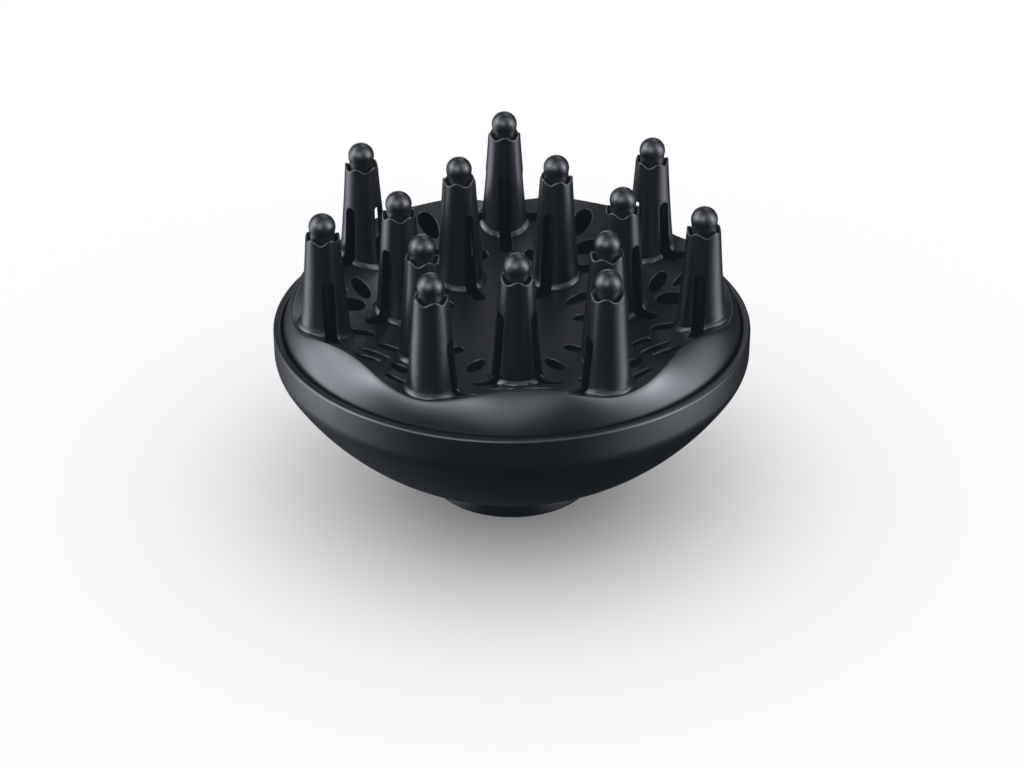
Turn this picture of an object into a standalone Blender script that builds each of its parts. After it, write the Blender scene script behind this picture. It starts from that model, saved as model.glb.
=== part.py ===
"""Diffuser attachment for a hair dryer, standing on its collar, fingers up.

The origin is on the axis, at the collar's lower end.  +Z is the axis.  The first finger of the
outer ring is at +Y.  Everything is in metres.

Three groups move against each other:
  bowl   the bowl with its collar, baffle and cam ring
  cover  the finger cover and its sleeves, which turns about +Z on the cam ring's flange
  pins   the pin carrier and its ball-tipped pins, which turns with the cover and climbs the
         cam ring's helical slots, so that the ball tips rise out of the sleeves
"""
import math

import bmesh
import bpy
from mathutils import Matrix, Vector

# ---------------------------------------------------------------- driving dimensions
GAP = 0.0003                    # clearance between neighbours that don't move
BOWL_STEPS = 56                 # facets round the bowl
COVER_STEPS = 42                # facets round the cover and the carrier, six to a lobe

FINGERS = 7                     # fingers in each ring
FINGER_PITCH = math.tau / FINGERS
OUTER_RING = 0.05956            # pitch radius of the outer fingers
INNER_RING = 0.03578            # pitch radius of the inner fingers
OUTER_START = math.radians(90)
INNER_START = math.radians(270)
OUTER_BALL_Z = 0.0977           # centre of an outer ball tip
INNER_DROP = 0.0032             # how much lower the inner fingers stand

BOWL_RADIUS = 0.075
BOWL_TOP = 0.05756
BOWL_SPHERE = 0.086             # radius of the underside
BOWL_SPHERE_Z = 0.0894          # height of its centre
BOWL_WALL = 0.002
BOWL_BAND_LOW = 0.0497          # lower end of the vertical band
RIM_INNER = 0.0725
LANDING_Z = 0.0124              # flat inside the bowl, round the collar
LANDING_RADIUS = 0.0336

COLLAR_RADIUS = 0.0264
COLLAR_BORE = 0.024
COLLAR_TUBE = 0.0256            # outer radius where it passes through the bowl
COLLAR_SHOULDER = 0.0071
COLLAR_TOP = 0.020
GRIP_GROOVE = (0.0025, 0.0065, 0.0249)  # lower end, upper end, radius
GRIP_LIP = 0.0232               # inner radius of the rubber ring

COVER_EDGE = 0.0719             # outer edge of the cover, inside the bowl's rim
COVER_EDGE_Z = 0.0564
COVER_WALL = 0.0018
DISH_FLOOR = 0.0543             # height of the dish at its centre
DISH_KNEE = 0.030               # radius where the dish starts to rise
DISH_KNEE_SOFT = 0.006
DISH_SLOPE = 0.28
LOBE_START = 0.044              # radius where the lobes start to rise
LOBE_POWER = 1.5
RIDGE_RADIUS = (0.06734, -0.00205, -0.00022)    # mean, once and twice per lobe
RIDGE_Z = (0.06745, 0.00217, -0.00033)
WALL_BULGE = 1.4                # roundness of the cover's outer wall, 1 is a straight cone

SLEEVE_SIDES = 15
SLEEVE_TOP_RADIUS = 0.00525
SLEEVE_BELOW_BALL = 0.0034      # mean height of a sleeve's mouth under its ball's centre
SLEEVE_TAPER = 0.062
SLEEVE_FLARE = 0.72             # per metre of depth, on top of the taper
SCALLOPS = 5
SCALLOP_HEIGHT = 0.0007
SLEEVE_BORE_TOP = 0.0044
SLEEVE_BORE_LOW = 0.0066
SPIGOT_RADIUS = 0.0073
SPIGOT_DEPTH = 0.0026
FOOT_RADIUS = 0.0087
FOOT_HEIGHT = 0.0010
FOOT_GAP = 0.0005               # under the foot, where the dish is faceted
SLEEVE_MIDDLE = 0.018           # depth of the ring of corners half way down a sleeve
SOCKET_RADIUS = 0.0076          # hole in the cover for a sleeve's spigot
SLOT_WIDTH = 0.004
SLOT_BELOW_TOP = {"outer": 0.0129, "inner": 0.0107}     # a slot's arch under the mouth
SLOT_REACH = 0.0153             # how far a slot runs out from the finger's axis
SLOT_CUT = (0.003, 0.018)       # radii between which a sleeve's slots are cut
SLOT_CUT_LOW = 0.045            # lower end of that cut, under every sleeve
OUTER_SLOTS = (0, 90, -90)      # degrees from the direction to the bowl's axis
INNER_SLOTS = (0, 120, -120)

BALL_RADIUS = 0.00413
STEM_RADIUS = 0.00385
PIN_SPIGOT = 0.0023
SPIGOT_PROUD = 0.0004           # how far a pin's spigot stands out under the carrier

CARRIER_LOW = 0.041
CARRIER_HIGH = 0.0434
CARRIER_OUTER = (0.0555, 0.0644)
CARRIER_INNER = (0.031, 0.0406)
CARRIER_SPOKE = 0.006
PEG_RADIUS = 0.0011             # a little under half the plate's thickness
PEG_REACH = (0.0625, 0.0664)    # from inside the plate's rim into the cam slots
PEG_COUNT = 3
LIFT = 0.009                    # travel of the pins
LIFT_TURN = math.radians(60)    # turn of the cover that gives it

CAM_INNER = 0.065
CAM_OUTER = 0.0668
CAM_LOW = 0.0392
CAM_FLANGE = (0.069, 0.0535, 0.055)     # outer radius, underside, top
CAM_SLOT_HALF = 0.00175
EAR_RING = 0.0693               # pitch radius of the cam ring's ears
EAR_RADIUS = 0.0026
EAR_ARC = math.radians(4)
EAR_Z = (0.047, 0.0488)
EAR_HOLE = 0.0012
BOSS_RADIUS = 0.0021            # screw boss in the bowl under each ear, and its pilot hole
BOSS_LOW = 0.0422
PILOT_RADIUS = 0.0011
PILOT_LOW = 0.0438

BAFFLE_RADIUS = 0.031
BAFFLE_HOLE = 0.007
BAFFLE_Z = (0.027, 0.0286)
BAFFLE_LEGS = 4
BAFFLE_LEG_RING = 0.0285
BAFFLE_LEG_RADIUS = 0.0026
BAFFLE_LEG_HOLE = 0.0013
LOCK_RING = (0.0259, 0.033, 0.0127, 0.0152)     # inner, outer, underside, top

HOOK_ARM = (0.0694, 0.0706)     # inner and outer radius of a snap hook's arm
HOOK_BARB = 0.0679              # how far in its barb reaches
HOOK_Z = (0.0518, 0.053, 0.0583)
HOOK_ARC = math.radians(16)
RIB = (0.0676, 0.0688, 0.064)   # bearing rib of the cover: inner, outer radius, top

BALL_VENT = (0.0060, 0.0094, 0.0578)    # width, length, pitch radius of the vent in each lobe
LEAF_VENT = (0.0054, 0.0105, 0.0500)    # the pair of leaves inside each lobe
LEAF_OFFSET = 0.0059
LEAF_TILT = math.radians(60)
SPOKE_VENT = (0.0042, 0.0105, 0.0281)   # radial leaf in front of each outer finger


# ---------------------------------------------------------------- scene and materials
def clear_scene():
    for obj in list(bpy.data.objects):
        bpy.data.objects.remove(obj, do_unlink=True)


def new_collection(name):
    collection = bpy.data.collections.new(name)
    bpy.context.scene.collection.children.link(collection)
    return collection


def new_material(name, color, roughness, metallic=0.0):
    material = bpy.data.materials.new(name)
    material.use_nodes = True
    shader = material.node_tree.nodes["Principled BSDF"]
    shader.inputs["Base Color"].default_value = (*color, 1.0)
    shader.inputs["Roughness"].default_value = roughness
    shader.inputs["Metallic"].default_value = metallic
    return material


clear_scene()
PARTS = new_collection("hair_dryer_diffuser")
CUTTERS = new_collection("cutters")
BOWL_PLASTIC = new_material("bowl_plastic", (0.020, 0.021, 0.024), 0.38)
COVER_PLASTIC = new_material("cover_plastic", (0.018, 0.019, 0.022), 0.30)
SLEEVE_PLASTIC = new_material("sleeve_plastic", (0.017, 0.018, 0.020), 0.34)
PIN_PLASTIC = new_material("pin_plastic", (0.019, 0.019, 0.021), 0.42)
COLLAR_PLASTIC = new_material("collar_plastic", (0.016, 0.016, 0.018), 0.35)
INNER_PLASTIC = new_material("inner_plastic", (0.030, 0.030, 0.032), 0.50)
GRIP_RUBBER = new_material("grip_rubber", (0.012, 0.012, 0.012), 0.75)
SCREW_STEEL = new_material("screw_steel", (0.55, 0.55, 0.56), 0.35, 1.0)


# ---------------------------------------------------------------- mesh helpers
def place(mesh, name, material, collection=None):
    """Link a mesh as a named part, shaded smooth except at its corners."""
    obj = bpy.data.objects.new(name, mesh)
    (collection or PARTS).objects.link(obj)
    if material:
        mesh.materials.append(material)
        mesh.shade_smooth()
        mesh.set_sharp_from_angle(angle=math.radians(35))
    return obj


def mesh_from(bm, name):
    bmesh.ops.recalc_face_normals(bm, faces=bm.faces)
    mesh = bpy.data.meshes.new(name)
    bm.to_mesh(mesh)
    bm.free()
    return mesh


def evaluated_mesh(obj):
    """The mesh of an object with its modifiers applied."""
    graph = bpy.context.evaluated_depsgraph_get()
    return bpy.data.meshes.new_from_object(obj.evaluated_get(graph))


def as_cutter(obj):
    obj.hide_render = True
    obj.display_type = "WIRE"
    return obj


def cutter_from(bm, name):
    """A hidden helper solid, joined to or cut from a part."""
    return as_cutter(place(mesh_from(bm, name), name, None, CUTTERS))


def boolean(obj, other, operation):
    modifier = obj.modifiers.new(other.name, "BOOLEAN")
    modifier.operation = operation
    modifier.solver = "EXACT"
    modifier.object = other


def turned(name, outline, steps, material, collection=None, closed=True):
    """A solid of revolution.  The outline runs down its outer side, as (radius, height) pairs."""
    mesh = bpy.data.meshes.new(name)
    count = len(outline)
    edges = [(i, i + 1) for i in range(count - 1)]
    if closed:
        edges.append((count - 1, 0))
    mesh.from_pydata([(r, 0.0, z) for r, z in outline], edges, [])
    obj = place(mesh, name, None, collection)
    screw = obj.modifiers.new("turn", "SCREW")
    screw.steps = steps
    screw.render_steps = steps
    screw.use_merge_vertices = True
    screw.merge_threshold = 0.00001
    screw.use_smooth_shade = True
    if material:
        mesh.materials.append(material)
    return obj


def rings_to_mesh(rings, close_tube):
    """Join rings of equal length into a skin; close_tube joins the last ring to the first."""
    bm = bmesh.new()
    loops = [[bm.verts.new(p) for p in ring] for ring in rings]
    count = len(loops)
    for i in range(count if close_tube else count - 1):
        a, b = loops[i], loops[(i + 1) % count]
        for k in range(len(a)):
            n = (k + 1) % len(a)
            bm.faces.new((a[k], a[n], b[n], b[k]))
    return bm, loops


def prism(bm, outline, low, high, matrix=Matrix()):
    """Add an upright prism over a flat outline to bm."""
    bottom = [bm.verts.new(matrix @ Vector((x, y, low))) for x, y in outline]
    top = [bm.verts.new(matrix @ Vector((x, y, high))) for x, y in outline]
    bm.faces.new(bottom)
    bm.faces.new(top)
    for i in range(len(outline)):
        n = (i + 1) % len(outline)
        bm.faces.new((bottom[i], bottom[n], top[n], top[i]))


def cylinder(bm, radius, low, high, x=0.0, y=0.0, sides=16):
    bmesh.ops.create_cone(bm, cap_ends=True, segments=sides, radius1=radius, radius2=radius,
                          depth=high - low,
                          matrix=Matrix.Translation((x, y, (low + high) / 2)))


def arc(cx, cy, radius, start, end, count):
    """Points on a circular arc, both ends included."""
    points = []
    for i in range(count + 1):
        a = start + (end - start) * i / count
        points.append((cx + radius * math.cos(a), cy + radius * math.sin(a)))
    return points


def polar(radius, angle):
    return radius * math.cos(angle), radius * math.sin(angle)


def sweep(bm, outline, stations):
    """Add a half section, in (radius, height) pairs, carried round the axis through stations
    of (angle, lift), with flat ends."""
    loops = []
    for angle, lift in stations:
        loops.append([bm.verts.new((*polar(r, angle), z + lift)) for r, z in outline])
    for a, b in zip(loops, loops[1:]):
        for k in range(len(outline)):
            n = (k + 1) % len(outline)
            bm.faces.new((a[k], a[n], b[n], b[k]))
    bm.faces.new(loops[0])
    bm.faces.new(loops[-1])


def arc_stations(middle, width, segments=3):
    return [(middle + width * (i / segments - 0.5), 0.0) for i in range(segments + 1)]


# ---------------------------------------------------------------- the cover's surface
def lobe_wave(coefficients, angle):
    """A value that repeats once per lobe; a lobe's middle is at the inner fingers' angle."""
    phase = FINGERS * (angle - INNER_START)
    mean, once, twice = coefficients
    return mean + once * math.cos(phase) + twice * math.cos(2 * phase)


def plain_dish(radius):
    rise = radius - DISH_KNEE
    return DISH_FLOOR + DISH_SLOPE / 2 * (rise + math.hypot(rise, DISH_KNEE_SOFT))


def dish(x, y):
    """Height of the cover's upper face inside the ridge."""
    radius = math.hypot(x, y)
    if radius <= LOBE_START:
        return plain_dish(radius)
    angle = math.atan2(y, x)
    ridge = lobe_wave(RIDGE_RADIUS, angle)
    lift = lobe_wave(RIDGE_Z, angle) - plain_dish(ridge)
    share = (radius - LOBE_START) / (ridge - LOBE_START)
    return plain_dish(radius) + lift * share ** LOBE_POWER


def cover_ring(angle):
    """Points of the cover's upper face along one direction, from near the axis to its edge."""
    ridge = lobe_wave(RIDGE_RADIUS, angle)
    ridge_z = lobe_wave(RIDGE_Z, angle)
    points = []
    for radius in (0.026, 0.034, LOBE_START):
        points.append((radius, plain_dish(radius)))
    for share in (0.5, 1.0):
        radius = LOBE_START + (ridge - LOBE_START) * share
        points.append((radius, dish(*polar(radius, angle))))
    for share in (0.45, 1.0):
        turn = share * math.pi / 2
        out = math.sin(turn) ** (2 / WALL_BULGE)
        down = math.cos(turn) ** (2 / WALL_BULGE)
        points.append((ridge + (COVER_EDGE - ridge) * out,
                       COVER_EDGE_Z + (ridge_z - COVER_EDGE_Z) * down))
    return points


def cover_skin():
    steps = COVER_STEPS
    columns = [cover_ring(math.tau * k / steps) for k in range(steps)]
    rings = []
    for i in range(len(columns[0])):
        ring = []
        for k, column in enumerate(columns):
            radius, z = column[i]
            ring.append((*polar(radius, math.tau * k / steps), z))
        rings.append(ring)
    bm, loops = rings_to_mesh(rings, close_tube=False)
    centre = bm.verts.new((0, 0, plain_dish(0)))
    for k in range(steps):
        bm.faces.new((centre, loops[0][k], loops[0][(k + 1) % steps]))
    return mesh_from(bm, "finger_cover")


# ---------------------------------------------------------------- fingers
def finger_angles(start):
    return [start + k * FINGER_PITCH for k in range(FINGERS)]


def sleeve_radius(depth):
    """Outer radius of a sleeve at a depth under its mouth."""
    return SLEEVE_TOP_RADIUS + SLEEVE_TAPER * depth + SLEEVE_FLARE * depth ** 2


def sleeve_mesh(ring_name, ring_radius, start, ball_z, slots, scallop_phase):
    """A slotted sleeve standing at the first place of its ring, in the object's frame."""
    name = ring_name + "_sleeve"
    axis = Vector((*polar(ring_radius, start), 0))
    mouth = ball_z - SLEEVE_BELOW_BALL
    foot = dish(axis.x, axis.y) + FOOT_HEIGHT
    inward = start + math.pi

    def ring(radius, height, scallop=0.0, on_dish=False):
        points = []
        for k in range(SLEEVE_SIDES):
            a = inward + math.tau * k / SLEEVE_SIDES
            x, y = axis.x + radius * math.cos(a), axis.y + radius * math.sin(a)
            z = height + scallop * math.cos(SCALLOPS * (a - inward) + scallop_phase)
            points.append((x, y, z + dish(x, y) if on_dish else z))
        return points

    rings = [
        ring(SLEEVE_TOP_RADIUS, mouth, SCALLOP_HEIGHT),
        ring(sleeve_radius(SLEEVE_MIDDLE), mouth - SLEEVE_MIDDLE),
        ring(sleeve_radius(mouth - foot), FOOT_HEIGHT, on_dish=True),
        ring(FOOT_RADIUS, FOOT_GAP, on_dish=True),
        ring(SPIGOT_RADIUS, FOOT_GAP, on_dish=True),
        ring(SPIGOT_RADIUS, -SPIGOT_DEPTH, on_dish=True),
        ring(SLEEVE_BORE_LOW, -SPIGOT_DEPTH, on_dish=True),
        ring(SLEEVE_BORE_TOP, mouth, SCALLOP_HEIGHT),
    ]
    bm, _ = rings_to_mesh(rings, close_tube=True)
    sleeve = place(mesh_from(bm, name), name, None, CUTTERS)

    arch = mouth - SLOT_BELOW_TOP[ring_name] - SLOT_WIDTH / 2
    half = SLOT_WIDTH / 2
    outline = [(-half, SLOT_CUT_LOW), (half, SLOT_CUT_LOW)]
    outline += arc(0, arch, half, 0, math.pi, 4)
    bm = bmesh.new()
    for degrees in slots:
        upright = Matrix.Rotation(inward + math.radians(degrees), 4, "Z")
        # the outline is drawn in a vertical plane and pushed outward from inside the bore
        stand = Matrix.Rotation(math.pi / 2, 4, "Z") @ Matrix.Rotation(math.pi / 2, 4, "X")
        prism(bm, outline, *SLOT_CUT, Matrix.Translation(axis) @ upright @ stand)
    cutter = cutter_from(bm, name + "_slots")
    boolean(sleeve, cutter, "DIFFERENCE")
    mesh = evaluated_mesh(sleeve)
    bpy.data.objects.remove(sleeve)
    mesh.materials.clear()
    mesh.materials.append(SLEEVE_PLASTIC)
    mesh.shade_smooth()
    mesh.set_sharp_from_angle(angle=math.radians(35))
    return mesh


def pin_outline(ball_z):
    """Half section of a pin, from its pole down its outer side to its lower end."""
    neck = math.acos(STEM_RADIUS / BALL_RADIUS)
    outline = [(0.0, ball_z + BALL_RADIUS)]
    outline += arc(0, ball_z, BALL_RADIUS, math.radians(55), -neck, 3)
    outline += [
        (STEM_RADIUS, CARRIER_HIGH + GAP),
        (PIN_SPIGOT, CARRIER_HIGH + GAP),
        (PIN_SPIGOT, CARRIER_LOW - SPIGOT_PROUD),
        (0.0, CARRIER_LOW - SPIGOT_PROUD),
    ]
    return outline


def make_fingers(ring_name, ring_radius, start, ball_z, slots, scallop_phase):
    sleeve = sleeve_mesh(ring_name, ring_radius, start, ball_z, slots, scallop_phase)
    for k, angle in enumerate(finger_angles(start)):
        obj = bpy.data.objects.new(f"{ring_name}_sleeve_{k + 1}", sleeve)
        PARTS.objects.link(obj)
        obj.rotation_euler.z = angle - start
        pin = turned(f"{ring_name}_pin_{k + 1}", pin_outline(ball_z), 10, PIN_PLASTIC,
                     closed=False)
        pin.location = (*polar(ring_radius, angle), 0)


# ---------------------------------------------------------------- vents and holes in the cover
def leaf_outline(vent, sides=8):
    """An oval with its long axis on x, wide of a true ellipse by its corners."""
    width, length, _ = vent
    points = []
    for k in range(sides):
        a = math.tau * (k + 0.5) / sides
        points.append((length / 2 * math.cos(a), width / 2 * math.sin(a)))
    return points


def socket_outline(slots):
    """A round socket with three slots that run out of it, the first towards +x."""
    half = math.asin(SLOT_WIDTH / 2 / SOCKET_RADIUS)
    turns = sorted(math.radians(d) for d in slots)
    outline = []
    for i, turn in enumerate(turns):
        tip = SLOT_REACH - SLOT_WIDTH / 2
        outline += arc(*polar(tip, turn), SLOT_WIDTH / 2, turn - math.pi / 2,
                       turn + math.pi / 2, 3)
        following = turns[(i + 1) % len(turns)] + (math.tau if i == len(turns) - 1 else 0)
        segments = max(2, round((following - turn) / math.radians(32)))
        outline += arc(0, 0, SOCKET_RADIUS, turn + half, following - half, segments)
    return outline


def cover_cutter():
    bm = bmesh.new()
    low, high = 0.049, 0.074
    for start, radius, slots in ((OUTER_START, OUTER_RING, OUTER_SLOTS),
                                 (INNER_START, INNER_RING, INNER_SLOTS)):
        outline = socket_outline(slots)
        for angle in finger_angles(start):
            spot = Matrix.Translation((*polar(radius, angle), 0))
            prism(bm, outline, low, high, spot @ Matrix.Rotation(angle + math.pi, 4, "Z"))
    for angle in finger_angles(INNER_START):
        turn = Matrix.Rotation(angle, 4, "Z")
        spot = Matrix.Translation((BALL_VENT[2], 0, 0))
        prism(bm, leaf_outline(BALL_VENT), low, high, turn @ spot)
        for side in (-1, 1):
            spot = Matrix.Translation((LEAF_VENT[2], side * LEAF_OFFSET, 0))
            tilt = Matrix.Rotation(side * LEAF_TILT, 4, "Z")
            prism(bm, leaf_outline(LEAF_VENT), low, high, turn @ spot @ tilt)
    for angle in finger_angles(OUTER_START):
        spot = Matrix.Translation((*polar(SPOKE_VENT[2], angle), 0))
        prism(bm, leaf_outline(SPOKE_VENT), low, high,
              spot @ Matrix.Rotation(angle, 4, "Z"))
    return cutter_from(bm, "cover_holes")


def hooks_and_rib():
    """The seven snap hooks under the cover, and the rib that it turns on."""
    bm = bmesh.new()
    barb_low, barb_high, arm_top = HOOK_Z
    arm_inner, arm_outer = HOOK_ARM
    outline = [(arm_outer, arm_top), (arm_outer, barb_low), (HOOK_BARB, barb_low),
               (HOOK_BARB, barb_high), (arm_inner, barb_high), (arm_inner, arm_top)]
    for angle in finger_angles(INNER_START):
        sweep(bm, outline, arc_stations(angle, HOOK_ARC))
    hooks = cutter_from(bm, "hooks")
    inner, outer, top = RIB
    low = CAM_FLANGE[2] + GAP
    outline = [(outer, top), (outer, low), (inner, low), (inner, top)]
    rib = as_cutter(turned("rib", outline, COVER_STEPS, None, CUTTERS))
    return hooks, rib


def make_cover():
    cover = place(cover_skin(), "finger_cover", COVER_PLASTIC)
    shell = cover.modifiers.new("wall", "SOLIDIFY")
    shell.thickness = COVER_WALL
    shell.offset = -1
    shell.use_even_offset = True
    hooks, rib = hooks_and_rib()
    boolean(cover, rib, "UNION")
    boolean(cover, hooks, "UNION")
    boolean(cover, cover_cutter(), "DIFFERENCE")


# ---------------------------------------------------------------- bowl and collar
def sphere_z(radius, sphere):
    return BOWL_SPHERE_Z - math.sqrt(sphere ** 2 - radius ** 2)


def bowl_outline():
    inner_sphere = BOWL_SPHERE - BOWL_WALL
    hole = COLLAR_TUBE + GAP
    outer = [
        (0.0742, BOWL_TOP),
        (0.0748, BOWL_TOP - 0.0003),
        (BOWL_RADIUS, BOWL_TOP - 0.0009),
        (BOWL_RADIUS, BOWL_BAND_LOW),
        (0.07465, 0.0473),
    ]
    for radius in (0.0731, 0.0690, 0.0620, 0.0520, 0.0400, hole):
        outer.append((radius, sphere_z(radius, BOWL_SPHERE)))
    inner = [(hole, LANDING_Z), (LANDING_RADIUS, LANDING_Z)]
    for radius in (0.0480, 0.0600, 0.0680, 0.0720):
        inner.append((radius, sphere_z(radius, inner_sphere)))
    inner += [
        (BOWL_RADIUS - BOWL_WALL, 0.0495),
        (BOWL_RADIUS - BOWL_WALL, 0.0560),
        (RIM_INNER, 0.0566),
        (RIM_INNER, BOWL_TOP),
    ]
    return outer + inner


def ear_angles():
    return [math.radians(90 + 120 * k) for k in range(PEG_COUNT)]


def make_bowl():
    bowl = turned("outer_bowl", bowl_outline(), BOWL_STEPS, BOWL_PLASTIC)
    bosses = bmesh.new()
    pilots = bmesh.new()
    for angle in ear_angles():
        x, y = polar(EAR_RING, angle)
        cylinder(bosses, BOSS_RADIUS, BOSS_LOW, EAR_Z[0] - GAP, x, y, 12)
        cylinder(pilots, PILOT_RADIUS, PILOT_LOW, EAR_Z[0] + 0.001, x, y, 10)
    bosses = cutter_from(bosses, "bosses")
    pilots = cutter_from(pilots, "pilots")
    boolean(bowl, bosses, "UNION")
    boolean(bowl, pilots, "DIFFERENCE")


def make_collar():
    groove_low, groove_high, groove_radius = GRIP_GROOVE
    outline = [
        (COLLAR_TUBE, COLLAR_TOP),
        (COLLAR_TUBE, COLLAR_SHOULDER),
        (COLLAR_RADIUS, COLLAR_SHOULDER),
        (COLLAR_RADIUS, 0.0004),
        (COLLAR_RADIUS - 0.0004, 0.0),
        (COLLAR_BORE, 0.0),
        (COLLAR_BORE, groove_low),
        (groove_radius, groove_low),
        (groove_radius, groove_high),
        (COLLAR_BORE, groove_high),
        (COLLAR_BORE, COLLAR_TOP),
    ]
    turned("collar", outline, 40, COLLAR_PLASTIC)
    outline = [
        (groove_radius - GAP, groove_high - GAP),
        (groove_radius - GAP, groove_low + GAP),
        (COLLAR_BORE - GAP, groove_low + GAP),
        (GRIP_LIP, (groove_low + groove_high) / 2),
        (COLLAR_BORE - GAP, groove_high - GAP),
    ]
    turned("grip_ring", outline, 28, GRIP_RUBBER)


def leg_angles():
    return [math.radians(45) + math.tau * k / BAFFLE_LEGS for k in range(BAFFLE_LEGS)]


def make_baffle():
    inner, outer, low, high = LOCK_RING
    outline = [(outer, high), (outer, low), (inner, low), (inner, high)]
    lock_ring = turned("collar_lock_ring", outline, 40, INNER_PLASTIC)
    outline = [
        (BAFFLE_RADIUS, BAFFLE_Z[1]),
        (BAFFLE_RADIUS, BAFFLE_Z[0]),
        (BAFFLE_HOLE, BAFFLE_Z[0]),
        (BAFFLE_HOLE, BAFFLE_Z[1]),
    ]
    baffle = turned("air_baffle", outline, 32, INNER_PLASTIC)
    legs, holes = bmesh.new(), bmesh.new()
    for angle in leg_angles():
        x, y = polar(BAFFLE_LEG_RING, angle)
        cylinder(legs, BAFFLE_LEG_RADIUS, high + GAP, BAFFLE_Z[1] - 0.0004, x, y, 12)
        cylinder(holes, BAFFLE_LEG_HOLE, low - 0.001, BAFFLE_Z[1] + 0.001, x, y, 10)
    legs = cutter_from(legs, "legs")
    holes = cutter_from(holes, "leg_holes")
    boolean(baffle, legs, "UNION")
    boolean(baffle, holes, "DIFFERENCE")
    boolean(lock_ring, holes, "DIFFERENCE")
    length = BAFFLE_Z[1] + GAP - low - 0.0005
    spots = [(*polar(BAFFLE_LEG_RING, angle), BAFFLE_Z[1] + GAP) for angle in leg_angles()]
    make_screws("baffle_screw", spots, length, 0.0022, 0.001)


def make_screws(name, spots, length, head_radius, shank_radius):
    """Pan-head screws, point down, each with the underside of its head at a spot."""
    outline = [
        (0.0, 0.0012),
        (head_radius * 0.8, 0.0012),
        (head_radius, 0.0007),
        (head_radius, 0.0),
        (shank_radius, 0.0),
        (shank_radius, -length),
        (0.0, -length),
    ]
    for k, spot in enumerate(spots):
        turned(f"{name}_{k + 1}", outline, 10, SCREW_STEEL, closed=False).location = spot


# ---------------------------------------------------------------- cam ring and pin carrier
def slot_cutter():
    """Three helical slots, each a little longer than the carrier peg's travel."""
    sections = 10
    overrun = math.radians(2.2)
    middle = (CARRIER_LOW + CARRIER_HIGH) / 2
    low, high = middle - CAM_SLOT_HALF, middle + CAM_SLOT_HALF
    inner, outer = CAM_INNER - 0.0012, CAM_OUTER + 0.0012
    outline = [(outer, high), (outer, low), (inner, low), (inner, high)]
    bm = bmesh.new()
    for peg in range(PEG_COUNT):
        start = math.tau * peg / PEG_COUNT
        stations = [(start - overrun, 0.0)]
        for i in range(sections + 1):
            share = i / sections
            stations.append((start + LIFT_TURN * share, LIFT * share))
        stations.append((start + LIFT_TURN + overrun, LIFT))
        sweep(bm, outline, stations)
    return cutter_from(bm, "cam_slots")


def make_cam_ring():
    flange, flange_low, flange_high = CAM_FLANGE
    outline = [
        (flange, flange_high),
        (flange, flange_low),
        (CAM_OUTER, flange_low),
        (CAM_OUTER, CAM_LOW),
        (CAM_INNER, CAM_LOW),
        (CAM_INNER, flange_high),
    ]
    cam = turned("lift_cam", outline, 60, INNER_PLASTIC)
    ears, tips, holes = bmesh.new(), bmesh.new(), bmesh.new()
    low, high = EAR_Z
    reach = CAM_OUTER - 0.0008
    outline = [(EAR_RING, high), (EAR_RING, low), (reach, low), (reach, high)]
    for angle in ear_angles():
        x, y = polar(EAR_RING, angle)
        sweep(ears, outline, arc_stations(angle, EAR_ARC, 1))
        cylinder(tips, EAR_RADIUS, low, high, x, y, 12)
        cylinder(holes, EAR_HOLE, low - 0.001, high + 0.001, x, y, 10)
    boolean(cam, cutter_from(ears, "ears"), "UNION")
    boolean(cam, cutter_from(tips, "ear_tips"), "UNION")
    boolean(cam, cutter_from(holes, "ear_holes"), "DIFFERENCE")
    boolean(cam, slot_cutter(), "DIFFERENCE")
    spots = [(*polar(EAR_RING, angle), EAR_Z[1] + GAP) for angle in ear_angles()]
    make_screws("cam_screw", spots, 0.0046, 0.0018, 0.0008)


def carrier_ring(name, radii, collection):
    inner, outer = radii
    outline = [(outer, CARRIER_HIGH), (outer, CARRIER_LOW),
               (inner, CARRIER_LOW), (inner, CARRIER_HIGH)]
    return turned(name, outline, COVER_STEPS, None, collection)


def carrier_spokes():
    """Seven spokes from the hub to the rim, a hair thinner than both so that no faces meet."""
    bm = bmesh.new()
    half, overlap, inset = CARRIER_SPOKE / 2, 0.002, 0.0001
    inner, outer = CARRIER_INNER[1] - overlap, CARRIER_OUTER[0] + overlap
    outline = [(inner, -half), (outer, -half), (outer, half), (inner, half)]
    for angle in finger_angles(OUTER_START):
        prism(bm, outline, CARRIER_LOW + inset, CARRIER_HIGH - inset,
              Matrix.Rotation(angle, 4, "Z"))
    return cutter_from(bm, "spokes")


def carrier_pegs():
    bm = bmesh.new()
    start, end = PEG_REACH
    spot = Matrix.Translation(((start + end) / 2, 0, (CARRIER_LOW + CARRIER_HIGH) / 2))
    lay = Matrix.Rotation(math.pi / 2, 4, "Y")
    for peg in range(PEG_COUNT):
        turn = Matrix.Rotation(math.tau * peg / PEG_COUNT, 4, "Z")
        bmesh.ops.create_cone(bm, cap_ends=True, segments=12, radius1=PEG_RADIUS,
                              radius2=PEG_RADIUS, depth=end - start,
                              matrix=turn @ spot @ lay)
    return cutter_from(bm, "pegs")


def carrier_holes():
    bm = bmesh.new()
    for start, radius in ((OUTER_START, OUTER_RING), (INNER_START, INNER_RING)):
        for angle in finger_angles(start):
            cylinder(bm, PIN_SPIGOT + GAP, CARRIER_LOW - 0.001, CARRIER_HIGH + 0.001,
                     *polar(radius, angle), 10)
    return cutter_from(bm, "pin_holes")


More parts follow.
